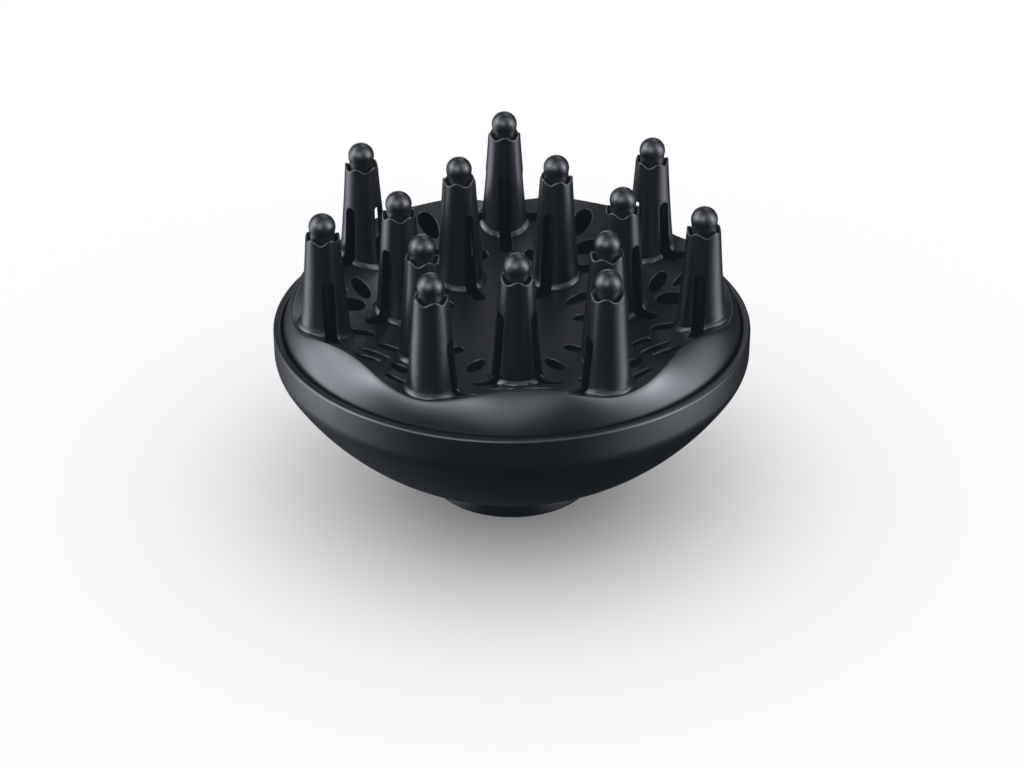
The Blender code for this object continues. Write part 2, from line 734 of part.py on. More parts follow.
def make_carrier():
    """A spoked plate with a hole for each pin's spigot and three pegs for the cam slots."""
    carrier = carrier_ring("pin_carrier", CARRIER_OUTER, PARTS)
    carrier.data.materials.append(INNER_PLASTIC)
    hub = as_cutter(carrier_ring("carrier_hub", CARRIER_INNER, CUTTERS))
    boolean(carrier, carrier_spokes(), "UNION")
    boolean(carrier, hub, "UNION")
    boolean(carrier, carrier_pegs(), "UNION")
    boolean(carrier, carrier_holes(), "DIFFERENCE")


make_bowl()
make_collar()
make_baffle()
make_cam_ring()
make_carrier()
make_cover()
make_fingers("outer", OUTER_RING, OUTER_START, OUTER_BALL_Z, OUTER_SLOTS, 0.0)
make_fingers("inner", INNER_RING, INNER_START, OUTER_BALL_Z - INNER_DROP, INNER_SLOTS, math.pi)
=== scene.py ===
"""Looks of the hair dryer diffuser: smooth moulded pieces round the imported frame.

Every outer piece of the CAD is replaced by a finer one of the same size: the bowl and collar, the
finger cover with its rounded vents, the fourteen slotted sleeves and the ball-tipped pins.  The
pieces inside keep their CAD shape or get a smoother turned one.  Everything is in metres.
The light is one soft sun, and glows in the world that only show in reflections.
"""
import math

import bpy
from mathutils import Matrix, Vector
from mathutils.geometry import delaunay_2d_cdt


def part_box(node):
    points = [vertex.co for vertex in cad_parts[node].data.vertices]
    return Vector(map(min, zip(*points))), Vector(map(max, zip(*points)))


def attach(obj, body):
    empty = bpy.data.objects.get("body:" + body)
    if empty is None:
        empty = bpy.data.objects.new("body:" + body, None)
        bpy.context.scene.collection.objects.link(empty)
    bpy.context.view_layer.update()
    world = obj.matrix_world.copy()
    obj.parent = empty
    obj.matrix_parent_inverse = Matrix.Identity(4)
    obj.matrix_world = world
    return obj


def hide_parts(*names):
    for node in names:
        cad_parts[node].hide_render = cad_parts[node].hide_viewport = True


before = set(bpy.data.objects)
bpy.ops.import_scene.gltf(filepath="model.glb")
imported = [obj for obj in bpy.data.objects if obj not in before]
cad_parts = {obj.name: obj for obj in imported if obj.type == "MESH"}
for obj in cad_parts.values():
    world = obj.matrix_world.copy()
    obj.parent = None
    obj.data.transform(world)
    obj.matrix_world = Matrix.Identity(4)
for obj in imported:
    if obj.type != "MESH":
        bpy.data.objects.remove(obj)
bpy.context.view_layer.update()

# ---------------------------------------------------------------- sizes
FINGERS = 7
PITCH = math.tau / FINGERS
OUTER_START = math.radians(90)          # direction of the first finger of each ring
INNER_START = math.radians(270)

BOWL_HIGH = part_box("outer_bowl")[1]
BOWL_RADIUS = BOWL_HIGH.x
BOWL_TOP = BOWL_HIGH.z
BAND_LOW = BOWL_TOP - 0.0079            # lower end of the bowl's vertical band
BAND_BLEND = 0.0731                     # radius where the band has run into the underside
BOWL_SPHERE = 0.086                     # radius of the underside
BOWL_SPHERE_Z = 0.0894
BOWL_WALL = 0.002
BOWL_SEAT = (0.0336, 0.0124)            # the flat round the collar inside: radius, height
RIM_WIDTH = 0.0025
RIM_OUTER_ROUND = 0.0009
RIM_INNER_ROUND = 0.0006
COLLAR_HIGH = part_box("collar")[1]
COLLAR_RADIUS = COLLAR_HIGH.x
COLLAR_TOP = COLLAR_HIGH.z
COLLAR_BORE = 0.024
COLLAR_TUBE = 0.0256                    # the collar's upper part, over its shoulder
COLLAR_SHOULDER = 0.0071
GRIP_GROOVE = (0.0249, 0.0025, 0.0065)  # the rubber ring's groove: radius, lower and upper end
GRIP_BORE = 0.0232

COVER_EDGE = 0.0719                     # outer edge of the cover, inside the bowl's rim
COVER_EDGE_Z = 0.0564
COVER_WALL = 0.0018
COVER_LIP = 0.0005                      # roundness of the cover's lower edge
DISH_FLOOR = 0.0543                     # the dish: height at its centre, where it starts to rise
DISH_KNEE = 0.030
DISH_KNEE_SOFT = 0.006
DISH_SLOPE = 0.28
LOBE_START = 0.044
LOBE_POWER = 1.5
RIDGE_RADIUS = (0.06734, -0.00205, -0.00022)    # mean, once and twice per lobe
RIDGE_Z = (0.06745, 0.00217, -0.00033)
WALL_BULGE = 1.4
RIDGE_STEPS = 48 * FINGERS              # columns round the ridge
RIDGE_BAND = 0.0011                     # the plan mesh stops this far inside the ridge
GRAIN = 0.0013                          # spacing of the points that fill the dish
GRAIN_GAP = 0.62                        # how near they come to an edge, in spacings
GUARD = 0.00045                         # band of even faces round each opening

SLEEVE_TOP_RADIUS = 0.00525
SLEEVE_BELOW_BALL = 0.0034
SLEEVE_TAPER = 0.062
SLEEVE_FLARE = 0.72
SLEEVE_WALL = (0.00095, 0.0012)         # at the mouth and at the foot
LIP_ROUND = 0.00038                     # roundness of the mouth's inner and outer edges
SCALLOPS = 5
SCALLOP_HEIGHT = 0.0007
FOOT_BORE = 0.0066                      # inner radius at the lowest end
SOCKET_RADIUS = 0.0076
SLOT_WIDTH = 0.004
SLOT_BELOW_TOP = {"outer": 0.0129, "inner": 0.0107}     # a slot's arch under the mouth
SLOT_REACH = 0.0153                     # how far a slot runs out from the finger's axis
OUTER_SLOTS = (0, 90, 270)              # degrees from the direction to the bowl's axis
INNER_SLOTS = (0, 120, 240)
FOOT = (                                # the bead at a sleeve's foot: radius, height over the dish
    (0.00770, 0.00142), (0.00782, 0.00138), (0.00830, 0.00082), (0.00876, 0.00024),
    (0.00882, 0.00008), (0.00882, 0.00000), (0.00730, 0.00000), (0.00730, -0.00170),
)

BALL_RADIUS = 0.00413
STEM_RADIUS = 0.00385
STEM_CLEAR = 0.0003                     # from the pin carrier to a stem's foot

BALL_VENT = (0.0060, 0.0095, 0.0578)    # width, length, pitch radius of the vent in each lobe
LEAF_VENT = (0.0055, 0.0106, 0.0500)    # the pair of leaves inside each lobe
LEAF_OFFSET = 0.0059
LEAF_TILT = math.radians(60)
LEAF_POINT = 0.25                       # how pointed a leaf is, 0 being an ellipse
BALL_VENT_TAPER = 0.22
SPOKE_VENT = (0.0042, 0.0106, 0.0281)   # radial leaf in front of each outer finger


def polar(radius, angle):
    return radius * math.cos(angle), radius * math.sin(angle)


def arc(cx, cy, radius, start, end, count):
    """Points on an arc, both ends included; start and end in degrees."""
    turns = [math.radians(start + (end - start) * i / count) for i in range(count + 1)]
    return [(cx + radius * math.cos(t), cy + radius * math.sin(t)) for t in turns]


def bezier(a, b, c, count):
    """Points on a quadratic curve from a to c, bent towards b."""
    points = []
    for i in range(count + 1):
        t = i / count
        p = Vector(a) * (1 - t) ** 2 + Vector(b) * 2 * t * (1 - t) + Vector(c) * t * t
        points.append(tuple(p))
    return points


def mix(a, b, share):
    return a + (b - a) * share


# ---------------------------------------------------------------- materials
SATIN_BLACK = (0.0007, 0.0007, 0.0009)
MOTTLE_SHADES = ((0.3, 0.88), (0.7, 1.12))      # place on the ramp, share of the colour
MOTTLE_GLOSS = (0.93, 1.07)                     # shares of the roughness


def plastic(name, color, roughness, grain=0.00035, relief=0.000012, mottle=0.012):
    """Moulded plastic: a faint mottle in its colour and gloss, and a very fine moulded grain."""
    material = bpy.data.materials.new(name)
    material.use_nodes = True
    nodes, links = material.node_tree.nodes, material.node_tree.links
    shader = nodes["Principled BSDF"]
    shader.inputs["IOR"].default_value = 1.5
    place = nodes.new("ShaderNodeTexCoord")

    patches = nodes.new("ShaderNodeTexNoise")
    patches.inputs["Scale"].default_value = 1 / mottle
    patches.inputs["Detail"].default_value = 4
    links.new(place.outputs["Object"], patches.inputs["Vector"])
    tint = nodes.new("ShaderNodeValToRGB")
    for stop, (position, share) in zip(tint.color_ramp.elements, MOTTLE_SHADES):
        stop.position = position
        stop.color = (*[c * share for c in color], 1)
    links.new(patches.outputs["Fac"], tint.inputs["Fac"])
    links.new(tint.outputs["Color"], shader.inputs["Base Color"])
    gloss = nodes.new("ShaderNodeMapRange")
    gloss.inputs["To Min"].default_value = roughness * MOTTLE_GLOSS[0]
    gloss.inputs["To Max"].default_value = roughness * MOTTLE_GLOSS[1]
    links.new(patches.outputs["Fac"], gloss.inputs["Value"])
    links.new(gloss.outputs["Result"], shader.inputs["Roughness"])

    pores = nodes.new("ShaderNodeTexNoise")
    pores.inputs["Scale"].default_value = 1 / grain
    pores.inputs["Detail"].default_value = 2
    links.new(place.outputs["Object"], pores.inputs["Vector"])
    bump = nodes.new("ShaderNodeBump")
    bump.inputs["Strength"].default_value = 0.5
    bump.inputs["Distance"].default_value = relief
    links.new(pores.outputs["Fac"], bump.inputs["Height"])
    links.new(bump.outputs["Normal"], shader.inputs["Normal"])
    return material


def brushed_steel(name):
    material = plastic(name, (0.55, 0.55, 0.56), 0.3, grain=0.0002, mottle=0.002)
    material.node_tree.nodes["Principled BSDF"].inputs["Metallic"].default_value = 1.0
    return material


BOWL = plastic("satin_black_bowl", SATIN_BLACK, 0.34)
COVER = plastic("satin_black_cover", SATIN_BLACK, 0.30)
SLEEVE = plastic("satin_black_sleeve", SATIN_BLACK, 0.32)
PIN = plastic("satin_black_pin", SATIN_BLACK, 0.36)
COLLAR = plastic("satin_black_collar", SATIN_BLACK, 0.32)
INNER = plastic("plain_black_inner", (0.006, 0.006, 0.0065), 0.5, grain=0.0006, relief=0.00003)
RUBBER = plastic("matte_black_rubber", (0.005, 0.005, 0.005), 0.75, grain=0.0003, relief=0.00004)
STEEL = brushed_steel("screw_steel")


# ---------------------------------------------------------------- mesh helpers
def add(name, vertices, faces, material, body, slot, *nodes):
    """A smooth shaded piece that rides on a body and stands for the CAD nodes named."""
    mesh = bpy.data.meshes.new(name)
    mesh.from_pydata([tuple(v) for v in vertices], [], faces)
    mesh.materials.append(material)
    mesh.shade_smooth()
    piece = bpy.data.objects.new(name, mesh)
    bpy.context.scene.collection.objects.link(piece)
    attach(piece, body)
    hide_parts(*nodes)
    return piece


def soften(piece, width, segments, limit=32):
    """Round the edges of a piece that turn by more than the limit, in degrees."""
    bevel = piece.modifiers.new("rounded_edges", "BEVEL")
    bevel.width = width
    bevel.segments = segments
    bevel.limit_method = "ANGLE"
    bevel.angle_limit = math.radians(limit)
    bevel.use_clamp_overlap = True
    bevel.miter_outer = "MITER_ARC"


def lathe(outline, steps, closed=True):
    """Vertices and faces of a turned solid; its half section runs down its outer side."""
    vertices, faces = [], []
    rows = []
    for radius, z in outline:
        if radius == 0:
            rows.append([len(vertices)])
            vertices.append((0.0, 0.0, z))
            continue
        rows.append([len(vertices) + k for k in range(steps)])
        for k in range(steps):
            vertices.append((*polar(radius, math.tau * k / steps), z))
    pairs = list(zip(rows, rows[1:]))
    if closed:
        pairs.append((rows[-1], rows[0]))
    for upper, lower in pairs:
        for k in range(steps):
            n = (k + 1) % steps
            if len(upper) == 1:
                faces.append((upper[0], lower[k], lower[n]))
            elif len(lower) == 1:
                faces.append((upper[k], lower[0], upper[n]))
            else:
                faces.append((upper[k], lower[k], lower[n], upper[n]))
    return vertices, faces


def open_edges(faces):
    """Directed edges that have a face on one side only."""
    edges = set()
    for face in faces:
        edges.update(zip(face, face[1:] + face[:1]))
    return [(a, b) for a, b in edges if (b, a) not in edges]


# ---------------------------------------------------------------- the cover's surface
def lobe_wave(coefficients, angle):
    """A value that repeats once per lobe; a lobe's middle is at the inner fingers' angle."""
    phase = FINGERS * (angle - INNER_START)
    mean, once, twice = coefficients
    return mean + once * math.cos(phase) + twice * math.cos(2 * phase)


def plain_dish(radius):
    rise = radius - DISH_KNEE
    return DISH_FLOOR + DISH_SLOPE / 2 * (rise + math.hypot(rise, DISH_KNEE_SOFT))


def dish(x, y):
    """Height of the cover's upper face inside the ridge."""
    radius = math.hypot(x, y)
    if radius <= LOBE_START:
        return plain_dish(radius)
    angle = math.atan2(y, x)
    ridge = lobe_wave(RIDGE_RADIUS, angle)
    lift = lobe_wave(RIDGE_Z, angle) - plain_dish(ridge)
    share = (radius - LOBE_START) / (ridge - LOBE_START)
    return plain_dish(radius) + lift * share ** LOBE_POWER


def dish_normal(x, y):
    step = 0.0002
    slope_x = (dish(x + step, y) - dish(x - step, y)) / (2 * step)
    slope_y = (dish(x, y + step) - dish(x, y - step)) / (2 * step)
    return Vector((-slope_x, -slope_y, 1)).normalized()


def smoothed(points, rounds):
    """Relax a half section, its two ends fixed."""
    for _ in range(rounds):
        inner = []
        for a, b, c in zip(points, points[1:], points[2:]):
            inner.append(((a[0] + 2 * b[0] + c[0]) / 4, (a[1] + 2 * b[1] + c[1]) / 4))
        points = [points[0]] + inner + [points[-1]]
    return points


def ridge_section(angle):
    """From the plan mesh's edge over the ridge, down the wall, and back up inside."""
    ridge, ridge_z = lobe_wave(RIDGE_RADIUS, angle), lobe_wave(RIDGE_Z, angle)
    points = []
    band_steps, wall_steps = 4, 26
    for i in range(band_steps + 1):
        radius = ridge - RIDGE_BAND * (1 - i / band_steps)
        points.append((radius, dish(*polar(radius, angle))))
    crowding = 1.15                     # brings the points closer together near the ridge
    for i in range(1, wall_steps + 1):
        turn = math.pi / 2 * (i / wall_steps) ** crowding
        out = math.sin(turn) ** (2 / WALL_BULGE)
        down = math.cos(turn) ** (2 / WALL_BULGE)
        points.append((mix(ridge, COVER_EDGE, out), mix(COVER_EDGE_Z, ridge_z, down)))
    outer = smoothed(points, 3)[1:]
    lip = arc(COVER_EDGE - COVER_LIP, COVER_EDGE_Z, COVER_LIP, 0, -90, 4)[1:]
    inner = [
        (COVER_EDGE - COVER_WALL, COVER_EDGE_Z - COVER_LIP),
        (COVER_EDGE - COVER_WALL, COVER_EDGE_Z + 0.001),
        (mix(ridge, COVER_EDGE, 0.55) - COVER_WALL, mix(COVER_EDGE_Z, ridge_z, 0.45)),
        (ridge - COVER_WALL / 2, ridge_z - COVER_WALL * 1.5),
    ]
    return outer + lip + inner


# ---------------------------------------------------------------- openings in the cover
def leaf(vent, sides=36):
    """A pointed oval with its long axis on x."""
    width, length, _ = vent
    points = []
    for k in range(sides):
        a = math.tau * k / sides
        narrow = abs(math.sin(a)) ** LEAF_POINT
        points.append((length / 2 * math.cos(a), width / 2 * math.sin(a) * narrow))
    return points


def drop_shape(vent, sides=40):
    """An oval, rounder at its outer end (+x) and narrower at its inner end."""
    width, length, _ = vent
    points = []
    for k in range(sides):
        a = math.tau * k / sides
        fuller = 1 + BALL_VENT_TAPER * math.cos(a)
        points.append((length / 2 * math.cos(a), width / 2 * math.sin(a) * fuller))
    return points


def slot_pairs(slots):
    """Each slot's angle with the next one's, in degrees, once round."""
    return zip(slots, slots[1:] + (slots[0] + 360,))


def socket_shape(slots):
    """A round socket with slots running out of it, the first towards +x."""
    half = math.degrees(math.asin(SLOT_WIDTH / 2 / SOCKET_RADIUS))
    straight_steps, arc_step = 6, 8
    root = SOCKET_RADIUS * math.cos(math.radians(half))
    tip = SLOT_REACH - SLOT_WIDTH / 2
    side = [(mix(root, tip, k / straight_steps), -SLOT_WIDTH / 2) for k in range(straight_steps)]
    end = arc(tip, 0, SLOT_WIDTH / 2, -90, 90, 12)
    back = [(x, -y) for x, y in reversed(side)]
    outline = []
    for turn, following in slot_pairs(slots):
        spin = Matrix.Rotation(math.radians(turn), 2)
        outline += [tuple(spin @ Vector(p)) for p in side + end + back]
        count = round((following - turn - 2 * half) / arc_step)
        outline += arc(0, 0, SOCKET_RADIUS, turn + half, following - half, count)[1:-1]
    return outline


def placed(outline, x, y, turn):
    spin = Matrix.Rotation(turn, 2)
    return [tuple(spin @ Vector(p) + Vector((x, y))) for p in outline]


def grown(outline, distance):
    """The outline moved outwards by a distance, corners mitred but not far past it."""
    longest_mitre, sharpest = 1.6, 0.3
    points = []
    for i, here in enumerate(outline):
        before, after = Vector(outline[i - 1]), Vector(outline[(i + 1) % len(outline)])
        a, b = (Vector(here) - before).normalized(), (after - Vector(here)).normalized()
        normal = Vector((a.y + b.y, -a.x - b.x)).normalized()
        reach = min(longest_mitre, 1 / max(sharpest, normal.dot(Vector((a.y, -a.x)))))
        points.append(tuple(Vector(here) + normal * distance * reach))
    return points


def cover_openings():
    outlines = []
    for start, radius, slots in ((OUTER_START, OUTER_RING, OUTER_SLOTS),
                                 (INNER_START, INNER_RING, INNER_SLOTS)):
        shape = socket_shape(slots)
        for k in range(FINGERS):
            angle = start + k * PITCH
            outlines.append(placed(shape, *polar(radius, angle), angle + math.pi))
    for k in range(FINGERS):
        angle = INNER_START + k * PITCH
        outlines.append(placed(drop_shape(BALL_VENT), *polar(BALL_VENT[2], angle), angle))
        for side in (-1, 1):
            spot = Matrix.Rotation(angle, 2) @ Vector((LEAF_VENT[2], side * LEAF_OFFSET))
            outlines.append(placed(leaf(LEAF_VENT), *spot, angle + side * LEAF_TILT))
        angle = OUTER_START + k * PITCH
        outlines.append(placed(leaf(SPOKE_VENT), *polar(SPOKE_VENT[2], angle), angle))
    return outlines


def dish_edge():
    """The plan mesh's outer edge, one point to each column of the ridge."""
    points = []
    for k in range(RIDGE_STEPS):
        angle = math.tau * k / RIDGE_STEPS
        points.append(polar(lobe_wave(RIDGE_RADIUS, angle) - RIDGE_BAND, angle))
    return points


def fill_points(loops):
    """Even points over the dish, kept clear of the loops."""
    taken = {}
    for loop in loops:
        for x, y in loop:
            taken.setdefault((round(x / GRAIN), round(y / GRAIN)), []).append((x, y))
    points = [(0.0, 0.0)]
    for ring in range(1, int(RIDGE_RADIUS[0] / GRAIN)):
        radius = ring * GRAIN
        count = FINGERS * max(1, round(math.tau * radius / GRAIN / FINGERS))
        for k in range(count):
            angle = math.tau * (k + ring % 2 / 2) / count
            x, y = polar(radius, angle)
            if radius > lobe_wave(RIDGE_RADIUS, angle) - RIDGE_BAND - GRAIN / 2:
                continue
            column, row = round(x / GRAIN), round(y / GRAIN)
            near = [p for i in (-1, 0, 1) for j in (-1, 0, 1)
                    for p in taken.get((column + i, row + j), ())]
            if all(math.hypot(x - a, y - b) > GRAIN * GRAIN_GAP for a, b in near):
                points.append((x, y))
    return points


def plan_mesh():
    """The dish seen from above: its points, its faces, and where its outer edge's points are."""
    edge = dish_edge()
    holes = cover_openings()
    guards = [grown(hole, GUARD) for hole in holes]
    points, polygons = [], []
    for loop in [edge] + holes + guards:
        polygons.append(list(range(len(points), len(points) + len(loop))))
        points += loop
    # the guard bands are made of quads, so the fill stops at the guard loops
    points += fill_points([edge] + guards + holes)
    solid = [polygons[0]] + polygons[1 + len(holes):]
    same_point = 1e-7
    spots, _, triangles, sources, _, owners = delaunay_2d_cdt(
        [Vector(p) for p in points], [], solid, 0, same_point)
    where = {}
    for i, source in enumerate(sources):
        for s in source:
            where[s] = i
    faces = [tuple(t) for t, owner in zip(triangles, owners) if list(owner) == [0]]
    for hole, guard in zip(polygons[1:1 + len(holes)], polygons[1 + len(holes):]):
        for k in range(len(hole)):
            n = (k + 1) % len(hole)
            faces.append((where[hole[k]], where[guard[k]], where[guard[n]], where[hole[n]]))
    return [tuple(p) for p in spots], faces, [where[i] for i in polygons[0]]


def make_cover():
    spots, plan, edge = plan_mesh()
    used = sorted({i for face in plan for i in face})
    place = {old: new for new, old in enumerate(used)}
    plan = [tuple(place[i] for i in face) for face in plan]
    edge = [place[i] for i in edge]
    upper, lower = [], []
    for i in used:
        x, y = spots[i]
        top = Vector((x, y, dish(x, y)))
        upper.append(top)
        lower.append(top - dish_normal(x, y) * COVER_WALL)
    count = len(upper)
    vertices = upper + lower
    faces = plan + [tuple(i + count for i in reversed(face)) for face in plan]
    rim = set(zip(edge, edge[1:] + edge[:1]))
    for a, b in open_edges(plan):
        if (a, b) not in rim:
            faces.append((b, a, a + count, b + count))
    columns = []
    for k, start in enumerate(edge):
        angle = math.tau * k / RIDGE_STEPS
        column = [start]
        for radius, z in ridge_section(angle):
            column.append(len(vertices))
            vertices.append((*polar(radius, angle), z))
        columns.append(column + [start + count])
    for k, column in enumerate(columns):
        following = columns[(k + 1) % RIDGE_STEPS]
        for i in range(len(column) - 1):
            faces.append((column[i], column[i + 1], following[i + 1], following[i]))
    cover = add("cover_shell", vertices, faces, COVER, "cover", "cover_plastic",
                "finger_cover")
    soften(cover, width=0.0003, segments=3, limit=40)


# ---------------------------------------------------------------- fingers
def ring_of(pin):
    """Pitch radius of a ring of fingers and the height of its ball centres."""
    low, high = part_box(pin)
    return math.hypot((low.x + high.x) / 2, (low.y + high.y) / 2), high.z - BALL_RADIUS


OUTER_RING, OUTER_BALL_Z = ring_of("outer_pin_1")
INNER_RING, INNER_BALL_Z = ring_of("inner_pin_1")


def sleeve_radius(depth):
    """Outer radius of a sleeve at a depth under its mouth."""
    return SLEEVE_TOP_RADIUS + SLEEVE_TAPER * depth + SLEEVE_FLARE * depth ** 2


def sleeve_columns(slots):
    """The columns of points round a sleeve, each as (from_slot, to_slot, along, height).

    Over a slot, from_slot is to_slot, along runs from -1 to 1 across it, and height is the
    arch's rise there, from 0 to 1.  Between two slots, along runs from 0 to 1.
    """
    arch_steps, wall_step = 10, 7
    columns = []
    for turn, following in slot_pairs(slots):
        for j in range(arch_steps):
            a = math.pi * j / arch_steps
            columns.append((turn, turn, -math.cos(a), math.sin(a)))
        steps = round((following - turn) / wall_step)
        for j in range(steps):
            columns.append((turn, following, j / steps, 0.0))
    return columns


def column_angle(column, radius):
    """A column's angle at a radius, from the direction to the bowl's axis."""
    from_slot, to_slot, along, _ = column
    if from_slot == to_slot:
        reach = math.asin(abs(along) * SLOT_WIDTH / 2 / radius)
        return math.radians(from_slot) + math.copysign(reach, along)
    half = math.asin(SLOT_WIDTH / 2 / radius)
    return mix(math.radians(from_slot) + half, math.radians(to_slot) - half, along)


def stands(column):
    """Whether a column has wall under the slots' arches: beside a slot, or between two."""
    from_slot, to_slot, along, _ = column
    return from_slot != to_slot or abs(along) == 1


def tube_mesh(outer, inner, mouth_rows):
    """Vertices and faces of a tube, from the rows of its two skins and of its rounded mouth.

    The skins' rows run down from the mouth, and the mouth's rows from the outer skin to the
    inner one.  A point that is None is left out, and so are the faces round it.
    """
    count = len(outer[0])
    vertices, where = [], {}
    for side, rows in enumerate((outer, inner)):
        for i, row in enumerate(rows):
            for k, point in enumerate(row):
                if point is not None:
                    where[side, i, k] = len(vertices)
                    vertices.append(point)
    outside, inside = [], []
    for i in range(len(outer) - 1):
        for k in range(count):
            n = (k + 1) % count
            quad = ((i, k), (i + 1, k), (i + 1, n), (i, n))
            if all((0, *corner) in where for corner in quad):
                outside.append(tuple(where[0, a, b] for a, b in quad))
                inside.append(tuple(where[1, a, b] for a, b in reversed(quad)))
    faces = outside + inside
    shift = {where[0, i, k]: where[1, i, k] for side, i, k in where if side == 0}
    loops = [[where[0, 0, k] for k in range(count)]]
    for a, b in open_edges(outside):
        if a not in loops[0]:
            faces.append((b, a, shift[a], shift[b]))
    for row in mouth_rows:
        loops.append([len(vertices) + k for k in range(count)])
        vertices += row
    loops.append([where[1, 0, k] for k in range(count)])
    for upper, lower in zip(loops, loops[1:]):
        for k in range(count):
            n = (k + 1) % count
            faces.append((lower[k], upper[k], upper[n], lower[n]))
    return vertices, faces


def make_sleeve_mesh(ring, ring_radius, start, ball_z, slots, phase):
    """A sleeve at the first place of its ring, in the object's frame."""
    cx, cy = polar(ring_radius, start)
    inward = start + math.pi
    mouth = ball_z - SLEEVE_BELOW_BALL
    length = mouth - dish(cx, cy) - FOOT[0][1]
    spring = SLOT_BELOW_TOP[ring] + SLOT_WIDTH / 2
    columns = sleeve_columns(slots)
    upper_rows, lower_rows, lip_rows = 16, 9, 5

    def spot(column, radius, wall=0.0):
        x, y = polar(radius - wall, inward + column_angle(column, radius))
        return cx + x, cy + y

    def wave(column, radius):
        return SCALLOP_HEIGHT * math.cos(SCALLOPS * column_angle(column, radius) + phase)

    def lip():
        """Rows over the rounded mouth, between the top rows of the two skins."""
        outline = arc(-LIP_ROUND, -LIP_ROUND, LIP_ROUND, 0, 90, lip_rows)[1:]
        outline += arc(LIP_ROUND - SLEEVE_WALL[0], -LIP_ROUND, LIP_ROUND, 90, 180, lip_rows)[:-1]
        rows = []
        for out, up in outline:
            radius = sleeve_radius(LIP_ROUND) + out
            rows.append([(*spot(c, radius), mouth + wave(c, radius) + up) for c in columns])
        return rows

    def upper_skin(inside):
        """Rows from the mouth down to the slots' arches."""
        rows = []
        for i in range(upper_rows + 1):
            share = i / upper_rows
            row = []
            for column in columns:
                depth = mix(LIP_ROUND, spring - SLOT_WIDTH / 2 * column[3], share)
                radius = sleeve_radius(depth)
                wall = mix(*SLEEVE_WALL, depth / length) if inside else 0
                z = mouth - depth + wave(column, radius) * (1 - share) ** 2
                row.append((*spot(column, radius, wall), z))
            rows.append(row)
        return rows

    def lower_skin(inside):
        """Rows beside the slots and over the foot's bead; None where a slot has no wall."""
        rows = []
        for i in range(1, lower_rows + 1):
            share = i / lower_rows
            depth = mix(spring, length, share)
            radius = mix(sleeve_radius(depth), FOOT[0][0], share ** 3)
            wall = mix(*SLEEVE_WALL, depth / length) if inside else 0
            row = []
            for column in columns:
                foot = dish(*spot(column, radius)) + FOOT[0][1]
                z = mix(mouth - depth, foot, share ** 2)
                row.append((*spot(column, radius, wall), z) if stands(column) else None)
            rows.append(row)
        for i, (radius, rise) in enumerate(FOOT[1:], 1):
            wall = 0
            if inside:
                share = i / (len(FOOT) - 1)
                wall = radius - mix(FOOT[0][0] - SLEEVE_WALL[1], FOOT_BORE, share)
                rise = mix(FOOT[0][1], FOOT[-1][1], share)
            row = []
            for column in columns:
                z = dish(*spot(column, radius)) + rise
                row.append((*spot(column, radius, wall), z) if stands(column) else None)
            rows.append(row)
        return rows

    outer = upper_skin(False) + lower_skin(False)
    inner = upper_skin(True) + lower_skin(True)
    return tube_mesh(outer, inner, lip())


def pin_outline(ball_z, foot_z):
    """From the pole down the pin's outer side: the ball, a soft neck, the stem."""
    fillet, fillet_middle, fillet_low = 0.0001, 0.0006, 0.0014
    edge = 0.0002                       # bevel of the stem's foot
    neck = math.degrees(math.acos((STEM_RADIUS + fillet) / BALL_RADIUS))
    outline = [(0.0, ball_z + BALL_RADIUS)]
    outline += arc(0, ball_z, BALL_RADIUS, 84, -neck, 18)
    neck_z = outline[-1][1]
    outline += [
        (STEM_RADIUS + 0.3 * fillet, neck_z - fillet_middle),
        (STEM_RADIUS, neck_z - fillet_low),
        (STEM_RADIUS, foot_z + edge),
        (STEM_RADIUS - edge, foot_z),
        (0.0, foot_z),
    ]
    return outline


def make_fingers(ring, ring_radius, start, ball_z, slots, phase):
    vertices, faces = make_sleeve_mesh(ring, ring_radius, start, ball_z, slots, phase)
    foot_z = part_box("pin_carrier")[1].z + STEM_CLEAR
    pin_vertices, pin_faces = lathe(pin_outline(ball_z, foot_z), 48, closed=False)
    for k in range(FINGERS):
        number = k + 1
        spin = Matrix.Rotation(k * PITCH, 3, "Z")
        sleeve = add(f"{ring}_finger_sleeve_{number}", [spin @ Vector(v) for v in vertices],
                     faces, SLEEVE, "cover", "sleeve_plastic", f"{ring}_sleeve_{number}")
        soften(sleeve, width=0.00014, segments=2, limit=36)
        x, y = polar(ring_radius, start + k * PITCH)
        add(f"{ring}_ball_pin_{number}", [(a + x, b + y, c) for a, b, c in pin_vertices],
            pin_faces, PIN, "pins", "pin_plastic", f"{ring}_pin_{number}")


# ---------------------------------------------------------------- bowl, collar and inner pieces
def sphere_points(start, end, sphere, steps):
    """Points on the bowl's underside or inside, from one radius to another, without the first."""
    points = []
    for i in range(1, steps + 1):
        radius = mix(start, end, i / steps)
        points.append((radius, BOWL_SPHERE_Z - math.sqrt(sphere ** 2 - radius ** 2)))
    return points


